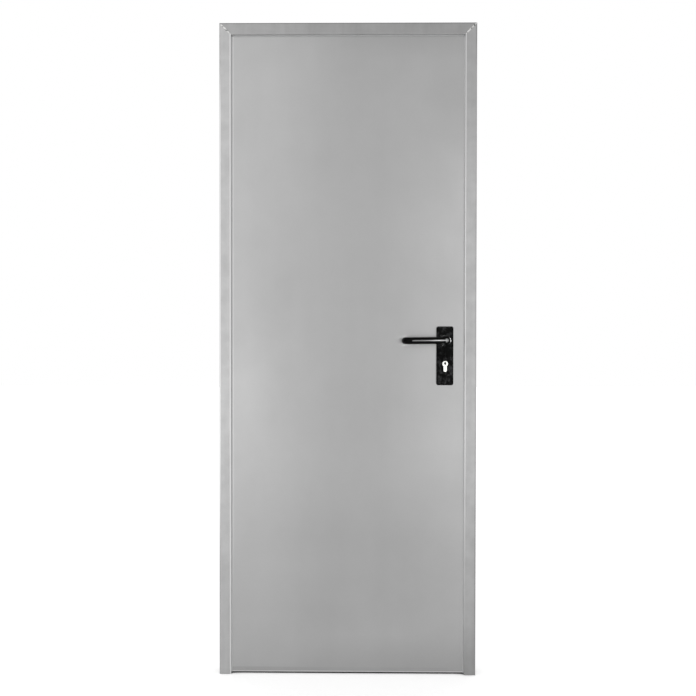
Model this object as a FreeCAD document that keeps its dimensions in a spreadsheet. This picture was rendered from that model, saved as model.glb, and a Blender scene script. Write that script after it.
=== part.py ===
import FreeCAD, Part
import Sketcher
import os
import re
from FreeCAD import Placement, Rotation, Vector

# A plain galvanised steel utility door: a folded sheet frame with mitred top corners, a leaf of two pressed
# sheets that opens to the back, a mortice lock, and a nylon lever handle on a plate on each side.
# Millimetres. X runs to the right, Y to the back and Z up. The origin is at floor level on the hinge jamb's
# wall side, in the lip that lies against the wall.

SIZES = {
    "frame_width": 790,        # over both jambs, for an opening 800 wide
    "frame_height": 2005,      # floor to the top of the head, for an opening 2010 high
    "face_width": 36,          # the frame's face as seen from the front
    "rebate_width": 24,        # wall plane to the web beside the leaf
    "stop_depth": 4,           # front face to the back of the stop, a narrow open hem
    "lip_depth": 16,           # lips turned back along the wall
    "origin_setback": 5,       # front face to the origin's plane
    "frame_sheet": 1.5,
    "frame_bend": 1.5,         # inside radius of the frame's folds
    "stop_bend": 0.4,          # inside radius of the stop's two tight folds
    "hinge_gap": 5,
    "lock_gap": 7,
    "head_gap": 5,
    "floor_gap": 3,
    "stop_gap": 5,
    "leaf_thickness": 44,
    "leaf_sheet": 0.8,
    "leaf_bend": 1.2,          # inside radius of the leaf's folds
    "back_flange": 8,          # how far the back sheet is folded forward
    "fixing_radius": 5.25,     # holes for 10 mm frame fixings
    "fixing_low": 250,         # floor to the lowest fixing
    "fixing_top": 205,         # top of the frame to the highest fixing
    "fixing_pitch": 450,       # from each of these to the next
    "spacer_radius": 9,
    "backset": 65,             # leaf edge to the spindle
    "spindle_height": 1033,
    "lock_centres": 72,        # spindle to cylinder
    "forend_length": 235,
    "forend_width": 22,
    "forend_sheet": 3,
    "forend_below": 78,        # below the cylinder's centre
    "case_height": 165,
    "case_depth": 88,
    "case_width": 15,
    "case_wall": 1.2,
    "case_below": 58,          # below the cylinder's centre
    "bolt_width": 12,
    "latch_height": 18,
    "latch_rise": 5,           # above the spindle
    "bolt_height": 24,
    "bolt_rise": 20,           # above the cylinder
    "bolt_length": 36,
    "bolt_play": 0.25,
    "cylinder_length": 70,
    "cylinder_head": 8.5,      # radius of the round part of the profile
    "cylinder_tail": 5,        # half width of the tail
    "cylinder_drop": 19.5,     # centre of the round part to the centre of the tail's end
    "plug_radius": 6.5,
    "plug_length": 29,
    "plug_play": 0.05,
    "keyway_width": 2,
    "keyway_height": 8,
    "keyway_depth": 24,
    "plate_width": 52,
    "plate_height": 181,
    "plate_above": 43,         # above the spindle
    "plate_thickness": 9,
    "plate_bevel": 4,
    "plate_corner": 6,
    "boss_radius": 18.5,
    "boss_rise": 1.5,
    "rim_radius": 15,          # raised oval round the cylinder
    "rim_length": 24,          # between the centres of its round ends
    "rim_rise": 1,
    "tube_radius": 10.5,
    "hub_radius": 13.5,
    "hub_round": 9,
    "neck_play": 0.4,
    "lever_reach": 50,         # leaf face to the grip's axis
    "lever_length": 134.5,     # spindle axis to the tip
    "lever_bend": 20,
    "lever_droop": 0.6,        # degrees the grip hangs at rest
    "neck_start": 2,
    "tip_gap": 13,
    "tip_round": 5,
    "spindle_side": 8,
    "spindle_end": 28,         # leaf face to the spindle's end
    "hinge_low": 200,          # floor to the lower hinge
    "hinge_top": 305,          # top of the frame to the foot of the upper hinge
    "knuckle_length": 49,
    "knuckle_radius": 8,
    "knuckle_lift": 2,         # leaf's back face to the knuckle
    "knuckle_floor": 4,
    "pin_radius": 5,
    "pin_play": 0.05,
    "pin_top": 40,             # pin above the washer
    "washer_thick": 2,
    "washer_play": 0.2,
    "tab_thick": 3,
    "frame_tab": 22,
    "leaf_tab": 36,
    "strike_play": 4,
    "strike_depth": 20,
    "strike_wall": 1,
    "strike_margin": 5,
}

doc = FreeCAD.newDocument("steel_utility_door")
sheet = doc.addObject("Spreadsheet::Sheet", "Sizes")
for row, (alias, size) in enumerate(SIZES.items(), start=1):
    sheet.set(f"A{row}", alias)
    sheet.set(f"B{row}", str(size))
    sheet.setAlias(f"B{row}", alias)
doc.recompute()

# Places that several pieces share, as expressions of the sizes.
FRAME_FRONT = "-origin_setback"
STOP_BACK = "(stop_depth - origin_setback)"
LEAF_FRONT = "(stop_depth - origin_setback + stop_gap)"
LEAF_BACK = f"({LEAF_FRONT} + leaf_thickness)"
LEAF_MIDDLE = f"({LEAF_FRONT} + leaf_thickness / 2)"
LEAF_LEFT = "(rebate_width + hinge_gap)"
LEAF_RIGHT = "(frame_width - rebate_width - lock_gap)"
LEAF_TOP = "(frame_height - rebate_width - head_gap)"
FIXING_PLANE = f"(({LEAF_BACK} - origin_setback) / 2)"
HINGE_X = "(rebate_width + hinge_gap / 2)"
HINGE_Y = f"({LEAF_BACK} + knuckle_radius + knuckle_lift)"
SPINDLE_X = f"({LEAF_RIGHT} - backset)"
CYLINDER_Z = "(spindle_height - lock_centres)"
LATCH_Z = "(spindle_height + latch_rise)"
BOLT_Z = f"({CYLINDER_Z} + bolt_rise)"
FIXINGS = {
    "first": "fixing_low",
    "second": "(fixing_low + fixing_pitch)",
    "third": "(frame_height - fixing_top - fixing_pitch)",
    "fourth": "(frame_height - fixing_top)",
}

pieces = []


def cells(text):
    """The expression with each size written as a cell of the sheet."""

    def cell(word):
        return "Sizes." + word.group() if word.group() in SIZES else word.group()

    return re.sub(r"[a-z_]+", cell, text)


def number(text):
    return float(sheet.evalExpression(cells(text)))


def bind(item, **expressions):
    """Bind properties to expressions; x, y and z stand for the placement's base."""
    for name, text in expressions.items():
        path = f"Placement.Base.{name}" if name in ("x", "y", "z") else name
        item.setExpression(path, cells(text))
    return item


def piece(item, label):
    """Keep a finished object as the node of that name."""
    item.Label = label
    pieces.append(item)
    return item


def block(name, x, y, z, wide, deep, high):
    """A box from its low corner and its three lengths."""
    return bind(doc.addObject("Part::Box", name), x=x, y=y, z=z, Length=wide, Width=deep, Height=high)


def rod(name, axis, x, y, z, radius, length):
    """A cylinder that runs along axis from the given start."""
    item = doc.addObject("Part::Cylinder", name)
    item.Placement = Placement(Vector(), Rotation(Vector(0, 0, 1), axis))
    return bind(item, x=x, y=y, z=z, Radius=radius, Height=length)


def fused(name, *items):
    joined = doc.addObject("Part::MultiFuse", name)
    joined.Shapes = list(items)
    joined.Refine = True
    return joined


def cut(name, base, *tools):
    """The base less the tools."""
    result = doc.addObject("Part::Cut", name)
    result.Base = base
    result.Tool = tools[0] if len(tools) == 1 else fused(name + "_tools", *tools)
    result.Refine = True
    return result


def new_sketch(body, name, plane, offset="0"):
    """A sketch on one of the body's own planes, moved along the plane's normal."""
    sketch = body.newObject("Sketcher::SketchObject", name)
    support = next(item for item in body.Origin.OriginFeatures if item.Role == plane)
    sketch.AttachmentSupport = [(support, "")]
    sketch.MapMode = "FlatFace"
    if offset != "0":
        sketch.setExpression("AttachmentOffset.Base.z", cells(offset))
    return sketch


def pin(sketch, line, end, across, up):
    """Hold one point of a sketch at a pair of expressions."""
    for kind, text, axis in (("DistanceX", across, -2), ("DistanceY", up, -1)):
        if text == "0":
            sketch.addConstraint(Sketcher.Constraint("PointOnObject", line, end, axis))
            continue
        size = number(text)
        ends = (-1, 1, line, end) if size > 0 else (line, end, -1, 1)
        index = sketch.addConstraint(Sketcher.Constraint(kind, *ends, abs(size)))
        sketch.setExpression(f"Constraints[{index}]", cells(text if size > 0 else f"-({text})"))


def outline(sketch, corners):
    """A closed outline through corners given as pairs of expressions."""
    points = [Vector(number(across), number(up), 0) for across, up in corners]
    count = len(points)
    for index in range(count):
        sketch.addGeometry(Part.LineSegment(points[index], points[(index + 1) % count]))
    for index in range(count):
        sketch.addConstraint(Sketcher.Constraint("Coincident", index, 2, (index + 1) % count, 1))
    for index, (across, up) in enumerate(corners):
        pin(sketch, index, 1, across, up)
    return sketch


def rectangle(sketch, left, low, right, high):
    return outline(sketch, [(left, low), (right, low), (right, high), (left, high)])


def circle(sketch, across, up, radius):
    centre = Vector(number(across), number(up), 0)
    index = sketch.addGeometry(Part.Circle(centre, Vector(0, 0, 1), number(radius)))
    pin(sketch, index, 3, across, up)
    bound = sketch.addConstraint(Sketcher.Constraint("Radius", index, number(radius)))
    sketch.setExpression(f"Constraints[{bound}]", cells(radius))
    return sketch


def pad(body, name, sketch, length, reverse=False):
    feature = body.newObject("PartDesign::Pad", name)
    feature.Profile = sketch
    feature.Reversed = reverse
    feature.setExpression("Length", cells(length))
    doc.recompute()
    return feature


def pocket(body, name, sketch, depth=None, reverse=False):
    """Cut a sketch to a depth, or right through, against the sketch's normal unless reversed."""
    feature = body.newObject("PartDesign::Pocket", name)
    feature.Profile = sketch
    feature.Reversed = reverse
    if depth is None:
        feature.Type = "ThroughAll"
    else:
        feature.setExpression("Length", cells(depth))
    doc.recompute()
    return feature


def dress(body, kind, name, base, wanted, size):
    """A fillet or chamfer on those edges of the base feature that are wanted."""
    edges = [f"Edge{index}" for index, edge in enumerate(base.Shape.Edges, start=1) if wanted(edge)]
    feature = body.newObject("PartDesign::" + kind, name)
    feature.Base = (base, edges)
    feature.setExpression("Radius" if kind == "Fillet" else "Size", cells(size))
    doc.recompute()
    return feature


def runs_at(axis, places):
    """Whether an edge runs along axis at one of the places across it."""
    others = [index for index in range(3) if index != axis]

    def wanted(edge):
        box = edge.BoundBox
        lengths = (box.XLength, box.YLength, box.ZLength)
        if any(lengths[index] > 0.01 for index in others):
            return False
        middle = box.Center
        return any(
            abs(middle[others[0]] - first) < 0.01 and abs(middle[others[1]] - second) < 0.01
            for first, second in places
        )

    return wanted


# The frame: one folded sheet section for both jambs and the head. It runs from the front lip along the wall,
# across the face, round the stop, along the web beside the leaf and over the back flange to the back lip.
OUTSIDE = [
    ("0", f"{FRAME_FRONT} + lip_depth"),
    ("0", FRAME_FRONT),
    ("face_width", FRAME_FRONT),
    ("face_width", STOP_BACK),
    ("rebate_width", STOP_BACK),
    ("rebate_width", LEAF_BACK),
    ("0", LEAF_BACK),
    ("0", f"{LEAF_BACK} - lip_depth"),
]
INSIDE = [
    ("frame_sheet", f"{FRAME_FRONT} + lip_depth"),
    ("frame_sheet", f"{FRAME_FRONT} + frame_sheet"),
    ("face_width - frame_sheet", f"{FRAME_FRONT} + frame_sheet"),
    ("face_width - frame_sheet", f"{STOP_BACK} - frame_sheet"),
    ("rebate_width - frame_sheet", f"{STOP_BACK} - frame_sheet"),
    ("rebate_width - frame_sheet", f"{LEAF_BACK} - frame_sheet"),
    ("frame_sheet", f"{LEAF_BACK} - frame_sheet"),
    ("frame_sheet", f"{LEAF_BACK} - lip_depth"),
]


def folded_length(body, plane, length, axis, place):
    """The frame's section run along an axis, its folds rounded; place turns a corner to the sketch."""
    section = new_sketch(body, body.Name + "_section", plane)
    outline(section, [place(*corner) for corner in OUTSIDE + INSIDE[::-1]])
    solid = pad(body, body.Name + "_run", section, length)
    rounds = {
        "frame_bend": [],
        "frame_bend + frame_sheet": [],
        "stop_bend": [],
        "stop_bend + frame_sheet": [],
    }
    for outer, inner in list(zip(OUTSIDE, INSIDE))[1:-1]:
        bend = "stop_bend" if outer[0] == "face_width" else "frame_bend"
        hollow_side = outer == ("rebate_width", STOP_BACK)
        rounds[bend].append(outer if hollow_side else inner)
        rounds[bend + " + frame_sheet"].append(inner if hollow_side else outer)
    for step, (radius, corners) in enumerate(rounds.items(), start=1):
        spots = [tuple(number(text) for text in place(*corner)) for corner in corners]
        solid = dress(body, "Fillet", f"{body.Name}_fold_{step}", solid, runs_at(axis, spots), radius)
    return solid


def mitre(body, name, corner, along, down):
    """Cut a 45 degree end from the front face through to the back."""
    sketch = new_sketch(body, name, "XZ_Plane", "origin_setback")
    outline(sketch, [corner, along, down])
    return pocket(body, name + "_cut", sketch)


def fixing_holes(body):
    sketch = new_sketch(body, body.Name + "_fixings", "YZ_Plane")
    for height in FIXINGS.values():
        circle(sketch, FIXING_PLANE, height, "fixing_radius")
    return pocket(body, body.Name + "_fixing_holes", sketch, reverse=True)


hinge_jamb = piece(doc.addObject("PartDesign::Body", "hinge_jamb"), "hinge_jamb")
folded_length(hinge_jamb, "XY_Plane", "frame_height", 2, lambda out, back: (out, back))
mitre(
    hinge_jamb,
    "hinge_jamb_mitre",
    ("0", "frame_height"),
    ("face_width", "frame_height"),
    ("face_width", "frame_height - face_width"),
)
fixing_holes(hinge_jamb)

lock_jamb = piece(doc.addObject("PartDesign::Body", "lock_jamb"), "lock_jamb")
folded_length(lock_jamb, "XY_Plane", "frame_height", 2, lambda out, back: (f"frame_width - ({out})", back))
mitre(
    lock_jamb,
    "lock_jamb_mitre",
    ("frame_width", "frame_height"),
    ("frame_width - face_width", "frame_height - face_width"),
    ("frame_width - face_width", "frame_height"),
)
fixing_holes(lock_jamb)
slots = new_sketch(lock_jamb, "strike_slots", "YZ_Plane")
rectangle(
    slots,
    f"{LEAF_MIDDLE} - bolt_width / 2 - strike_play",
    f"{LATCH_Z} - latch_height / 2 - strike_play",
    f"{LEAF_MIDDLE} + bolt_width / 2 + strike_play",
    f"{LATCH_Z} + latch_height / 2 + strike_play",
)
pocket(lock_jamb, "latch_slot", slots, reverse=True)
slots = new_sketch(lock_jamb, "bolt_slots", "YZ_Plane")
rectangle(
    slots,
    f"{LEAF_MIDDLE} - bolt_width / 2 - strike_play",
    f"{BOLT_Z} - bolt_height / 2 - strike_play",
    f"{LEAF_MIDDLE} + bolt_width / 2 + strike_play",
    f"{BOLT_Z} + bolt_height / 2 + strike_play",
)
pocket(lock_jamb, "bolt_slot", slots, reverse=True)

head_jamb = piece(doc.addObject("PartDesign::Body", "head_jamb"), "head_jamb")
folded_length(head_jamb, "YZ_Plane", "frame_width", 0, lambda out, back: (back, f"frame_height - ({out})"))
mitre(
    head_jamb,
    "head_left_mitre",
    ("0", "frame_height"),
    ("face_width", "frame_height - face_width"),
    ("0", "frame_height - face_width"),
)
mitre(
    head_jamb,
    "head_right_mitre",
    ("frame_width", "frame_height"),
    ("frame_width", "frame_height - face_width"),
    ("frame_width - face_width", "frame_height - face_width"),
)

# Spacer tubes behind the fixing holes keep the web from buckling when the frame is screwed to the wall.
for side, start in (("hinge", "0"), ("lock", "frame_width - rebate_width + frame_sheet")):
    tubes = []
    for order, height in FIXINGS.items():
        name = f"{side}_spacer_{order}"
        span = "rebate_width - frame_sheet"
        place = (Vector(1, 0, 0), start, FIXING_PLANE, height)
        outer = rod(name + "_tube", *place, "spacer_radius", span)
        bore = rod(name + "_bore", *place, "fixing_radius", span)
        tubes.append(cut(name, outer, bore))
    group = doc.addObject("Part::Compound", f"{side}_side_spacers")
    group.Links = tubes
    piece(group, f"{side}_side_spacers")

# The keeper box welded behind the lock jamb's slots keeps plaster out of the latch and the dead bolt.
keeper_low = f"({BOLT_Z} - bolt_height / 2 - strike_play - strike_margin)"
keeper_high = f"({LATCH_Z} + latch_height / 2 + strike_play + strike_margin)"
keeper_front = f"({LEAF_MIDDLE} - bolt_width / 2 - strike_play - strike_margin)"
keeper_span = "(bolt_width + 2 * strike_play + 2 * strike_margin)"
web_inside = "(frame_width - rebate_width + frame_sheet)"
keeper = block(
    "keeper_outside",
    web_inside,
    keeper_front,
    keeper_low,
    "strike_depth",
    keeper_span,
    f"{keeper_high} - {keeper_low}",
)
hollow = block(
    "keeper_hollow",
    web_inside,
    f"{keeper_front} + strike_wall",
    f"{keeper_low} + strike_wall",
    "strike_depth - strike_wall",
    f"{keeper_span} - 2 * strike_wall",
    f"{keeper_high} - {keeper_low} - 2 * strike_wall",
)
piece(cut("strike_box", keeper, hollow), "strike_box")

# The hinges: two lift-off knuckle hinges welded on the back. The pin stands in the frame's lower knuckle and
# the leaf's upper knuckle is dropped over it, with a brass washer between them.
for level in ("upper", "lower"):
    base = "(frame_height - hinge_top)" if level == "upper" else "hinge_low"
    axis = Vector(0, 0, 1)
    seat = f"({base} + knuckle_length + washer_thick)"
    lifted = f"({seat} + washer_play)"
    barrel = rod(f"{level}_frame_barrel", axis, HINGE_X, HINGE_Y, base, "knuckle_radius", "knuckle_length")
    web = block(
        f"{level}_frame_web",
        f"{HINGE_X} - knuckle_radius",
        LEAF_BACK,
        base,
        "knuckle_radius",
        "knuckle_radius + knuckle_lift",
        "knuckle_length",
    )
    tab = block(
        f"{level}_frame_tab",
        f"{HINGE_X} - frame_tab",
        LEAF_BACK,
        base,
        "frame_tab",
        "tab_thick",
        "knuckle_length",
    )
    bore = rod(
        f"{level}_frame_bore",
        axis,
        HINGE_X,
        HINGE_Y,
        f"{base} + knuckle_floor",
        "pin_radius + pin_play",
        "knuckle_length",
    )
    knuckle = cut(f"{level}_frame_knuckle", fused(f"{level}_frame_leaf", barrel, web, tab), bore)
    piece(knuckle, f"{level}_frame_knuckle")
    stem = rod(
        f"{level}_hinge_pin",
        axis,
        HINGE_X,
        HINGE_Y,
        f"{base} + knuckle_floor",
        "pin_radius",
        "knuckle_length - knuckle_floor + washer_thick + pin_top",
    )
    piece(stem, f"{level}_hinge_pin")
    disc = rod(
        f"{level}_washer_disc",
        axis,
        HINGE_X,
        HINGE_Y,
        f"{base} + knuckle_length",
        "knuckle_radius",
        "washer_thick",
    )
    hole = rod(
        f"{level}_washer_hole",
        axis,
        HINGE_X,
        HINGE_Y,
        f"{base} + knuckle_length",
        "pin_radius + pin_play",
        "washer_thick",
    )
    piece(cut(f"{level}_hinge_washer", disc, hole), f"{level}_hinge_washer")
    length = "(knuckle_length - washer_play)"
    barrel = rod(f"{level}_leaf_barrel", axis, HINGE_X, HINGE_Y, lifted, "knuckle_radius", length)
    web = block(
        f"{level}_leaf_web",
        HINGE_X,
        LEAF_BACK,
        lifted,
        "knuckle_radius",
        "knuckle_radius + knuckle_lift",
        length,
    )
    tab = block(f"{level}_leaf_tab", HINGE_X, LEAF_BACK, lifted, "leaf_tab", "tab_thick", length)
    bore = rod(
        f"{level}_leaf_bore",
        axis,
        HINGE_X,
        HINGE_Y,
        lifted,
        "pin_radius + pin_play",
        f"{length} - knuckle_floor",
    )
    knuckle = cut(f"{level}_leaf_knuckle", fused(f"{level}_leaf_leaf", barrel, web, tab), bore)
    piece(knuckle, f"{level}_leaf_knuckle")


# The leaf: a front tray and a shallow back lid pressed from thin sheet and clinched edge to edge.
def tray(name, front, back, open_front):
    """A pressed sheet with its four edges folded, open to the front or to the back."""
    body = doc.addObject("PartDesign::Body", name)
    depth = f"({back}) - ({front})"
    face = new_sketch(body, name + "_face", "XZ_Plane", f"-({front})")
    rectangle(face, LEAF_LEFT, "floor_gap", LEAF_RIGHT, LEAF_TOP)
    solid = pad(body, name + "_solid", face, depth, reverse=True)
    skin = f"({front})" if open_front else f"({back})"
    closed = number(back) if open_front else number(front)

    def outer_fold(edge):
        box = edge.BoundBox
        return abs(box.YMin - closed) < 0.01 and abs(box.YMax - closed) < 0.01

    folded = dress(body, "Fillet", name + "_folds", solid, outer_fold, "leaf_bend + leaf_sheet")
    inside = new_sketch(body, name + "_inside", "XZ_Plane", f"-({skin})")
    rectangle(
        inside,
        f"{LEAF_LEFT} + leaf_sheet",
        "floor_gap + leaf_sheet",
        f"{LEAF_RIGHT} - leaf_sheet",
        f"{LEAF_TOP} - leaf_sheet",
    )
    hollow = pocket(body, name + "_hollow", inside, f"{depth} - leaf_sheet", reverse=not open_front)
    floor = closed - number("leaf_sheet") if open_front else closed + number("leaf_sheet")

    def inner_fold(edge):
        box = edge.BoundBox
        return abs(box.YMin - floor) < 0.01 and abs(box.YMax - floor) < 0.01

    dress(body, "Fillet", name + "_inner_folds", hollow, inner_fold, "leaf_bend")
    return body


def profile(name, start, length, spare):
    """The lock cylinder's profile: a round head over a narrow round-ended tail, run along Y."""
    axis = Vector(0, 1, 0)
    head = rod(name + "_head", axis, SPINDLE_X, start, CYLINDER_Z, f"cylinder_head + {spare}", length)
    foot = rod(
        name + "_foot",
        axis,
        SPINDLE_X,
        start,
        f"{CYLINDER_Z} - cylinder_drop",
        f"cylinder_tail + {spare}",
        length,
    )
    stem = block(
        name + "_stem",
        f"{SPINDLE_X} - cylinder_tail - {spare}",
        start,
        f"{CYLINDER_Z} - cylinder_drop",
        f"2 * (cylinder_tail + {spare})",
        length,
        "cylinder_drop",
    )
    return fused(name, head, foot, stem)


def forend_shape(name, spare):
    """The lock's forend: a strip with round ends, let into the leaf's edge."""
    axis = Vector(1, 0, 0)
    start = f"{LEAF_RIGHT} - forend_sheet - {spare}"
    length = f"forend_sheet + {spare}"
    low = f"({CYLINDER_Z} - forend_below + forend_width / 2)"
    strip = block(
        name + "_strip",
        start,
        f"{LEAF_MIDDLE} - forend_width / 2 - {spare}",
        low,
        length,
        f"forend_width + 2 * ({spare})",
        "forend_length - forend_width",
    )
    radius = f"forend_width / 2 + {spare}"
    bottom = rod(name + "_bottom", axis, start, LEAF_MIDDLE, low, radius, length)
    high = f"{low} + forend_length - forend_width"
    top = rod(name + "_top", axis, start, LEAF_MIDDLE, high, radius, length)
    return fused(name, strip, bottom, top)


along_y = Vector(0, 1, 0)
through = "2 * leaf_sheet"
front_tray = tray("front_tray", LEAF_FRONT, f"{LEAF_BACK} - back_flange", False)
front_tools = [
    rod("front_spindle_hole", along_y, SPINDLE_X, LEAF_FRONT, "spindle_height", "spindle_side", through),
    profile("front_cylinder_hole", LEAF_FRONT, through, "leaf_sheet"),
    forend_shape("forend_recess", "bolt_play"),
]
piece(cut("front_skin", front_tray, *front_tools), "front_skin")
back_tray = tray("back_tray", f"{LEAF_BACK} - back_flange", LEAF_BACK, True)
back_start = f"{LEAF_BACK} - {through}"
back_tools = [
    rod("back_spindle_hole", along_y, SPINDLE_X, back_start, "spindle_height", "spindle_side", through),
    profile("back_cylinder_hole", back_start, through, "leaf_sheet"),
]
piece(cut("back_skin", back_tray, *back_tools), "back_skin")

# The lock: a forend strip, a folded case behind it, and a latch and a dead bolt drawn back flush with it.
bolt_holes = []
for bolt, height, centre in (("latch_bolt", "latch_height", LATCH_Z), ("dead_bolt", "bolt_height", BOLT_Z)):
    bar = block(
        bolt,
        f"{LEAF_RIGHT} - bolt_length",
        f"{LEAF_MIDDLE} - bolt_width / 2",
        f"{centre} - {height} / 2",
        "bolt_length",
        "bolt_width",
        height,
    )
    piece(bar, bolt)
    hole = block(
        bolt + "_hole",
        f"{LEAF_RIGHT} - forend_sheet",
        f"{LEAF_MIDDLE} - bolt_width / 2 - bolt_play",
        f"{centre} - {height} / 2 - bolt_play",
        "forend_sheet",
        "bolt_width + 2 * bolt_play",
        f"{height} + 2 * bolt_play",
    )
    bolt_holes.append(hole)
piece(cut("lock_forend", forend_shape("forend_strip", "0"), *bolt_holes), "lock_forend")

case_right = f"({LEAF_RIGHT} - forend_sheet)"
case_low = f"({CYLINDER_Z} - case_below)"
case_front = f"({LEAF_MIDDLE} - case_width / 2)"
case_outside = block(
    "case_outside",
    f"{case_right} - case_depth",
    case_front,
    case_low,
    "case_depth",
    "case_width",
    "case_height",
)
case_inside = block(
    "case_inside",
    f"{case_right} - case_depth + case_wall",
    f"{case_front} + case_wall",
    f"{case_low} + case_wall",
    "case_depth - case_wall",
    "case_width - 2 * case_wall",
    "case_height - 2 * case_wall",
)
follower = rod(
    "follower_hole",
    along_y,
    SPINDLE_X,
    case_front,
    "spindle_height",
    "spindle_side",
    "case_width",
)
case_profile = profile("case_cylinder_hole", case_front, "case_width", "bolt_play")
piece(cut("lock_case", case_outside, case_inside, follower, case_profile), "lock_case")

# The cylinder: a profile body through the leaf with a plug and keyway at each end.
cylinder_start = f"({LEAF_MIDDLE} - cylinder_length / 2)"
cylinder_end = f"({LEAF_MIDDLE} + cylinder_length / 2)"
shell = profile("cylinder_profile", cylinder_start, "cylinder_length", "0")
plug_bores = []
for side, start in (("front", cylinder_start), ("back", f"({cylinder_end} - plug_length)")):
    place = (along_y, SPINDLE_X, start, CYLINDER_Z)
    plug_bores.append(rod(f"{side}_plug_bore", *place, "plug_radius + plug_play", "plug_length"))
    key_start = start if side == "front" else f"({cylinder_end} - keyway_depth)"
    keyway = block(
        f"{side}_keyway",
        f"{SPINDLE_X} - keyway_width / 2",
        key_start,
        f"{CYLINDER_Z} - keyway_height / 2",
        "keyway_width",
        "keyway_depth",
        "keyway_height",
    )
    barrel = rod(f"{side}_plug_barrel", *place, "plug_radius", "plug_length")
    piece(cut(f"{side}_plug", barrel, keyway), f"{side}_plug")
piece(cut("cylinder_body", shell, *plug_bores), "cylinder_body")


# The handle plates: moulded nylon with bevelled borders, a boss round the lever's neck and a rim round the
# cylinder. The levers are nylon tubes bent back to the door at the tip; a square steel spindle joins them.
def plate(side, seat, outward):
    """A plate on a leaf face at seat; outward is -1 to the front and 1 to the back."""
    front = outward < 0
    body = doc.addObject("PartDesign::Body", f"{side}_plate_body")
    low = "(spindle_height + plate_above - plate_height)"
    shape = new_sketch(body, f"{side}_plate_outline", "XZ_Plane", f"-({seat})")
    rectangle(
        shape,
        f"{SPINDLE_X} - plate_width / 2",
        low,
        f"{SPINDLE_X} + plate_width / 2",
        "spindle_height + plate_above",
    )
    slab = pad(body, f"{side}_plate_slab", shape, "plate_thickness", reverse=not front)
    corners = dress(
        body,
        "Fillet",
        f"{side}_plate_corners",
        slab,
        lambda edge: abs(edge.BoundBox.YLength - number("plate_thickness")) < 0.01,
        "plate_corner",
    )
    face = number(seat) + outward * number("plate_thickness")
    dress(
        body,
        "Chamfer",
        f"{side}_plate_border",
        corners,
        lambda edge: abs(edge.BoundBox.YMin - face) < 0.01 and abs(edge.BoundBox.YMax - face) < 0.01,
        "plate_bevel",
    )
    boss = new_sketch(body, f"{side}_plate_boss", "XZ_Plane", f"-({seat})")
    circle(boss, SPINDLE_X, "spindle_height", "boss_radius")
    pad(body, f"{side}_plate_ring", boss, "plate_thickness + boss_rise", reverse=not front)
    rise = "(plate_thickness + rim_rise)"
    start = f"({seat}) - {rise}" if front else seat
    rim_low = f"({CYLINDER_Z} - cylinder_drop / 2 + cylinder_head / 2 - cylinder_tail / 2 - rim_length / 2)"
    rim_ends = [
        rod(f"{side}_rim_low", along_y, SPINDLE_X, start, rim_low, "rim_radius", rise),
        rod(f"{side}_rim_high", along_y, SPINDLE_X, start, f"{rim_low} + rim_length", "rim_radius", rise),
    ]
    rim_middle = block(
        f"{side}_rim_middle",
        f"{SPINDLE_X} - rim_radius",
        start,
        rim_low,
        "2 * rim_radius",
        rise,
        "rim_length",
    )
    rim = fused(f"{side}_rim", rim_middle, *rim_ends)
    deep = "(plate_thickness + boss_rise)"
    start = f"({seat}) - {deep}" if front else seat
    bore = "hub_radius + neck_play"
    neck = rod(f"{side}_neck_hole", along_y, SPINDLE_X, start, "spindle_height", bore, deep)
    opening = profile(f"{side}_plate_cylinder", start, deep, "bolt_play")
    solid = fused(f"{side}_plate_solid", body, rim)
    return piece(cut(f"{side}_plate", solid, neck, opening), f"{side}_plate")


def arc_order(path, start):
    """Which end of the path's arc lies at start, then the other."""
    return (1, 2) if path.getPoint(1, 1).distanceToPoint(start) < 0.01 else (2, 1)


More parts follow.
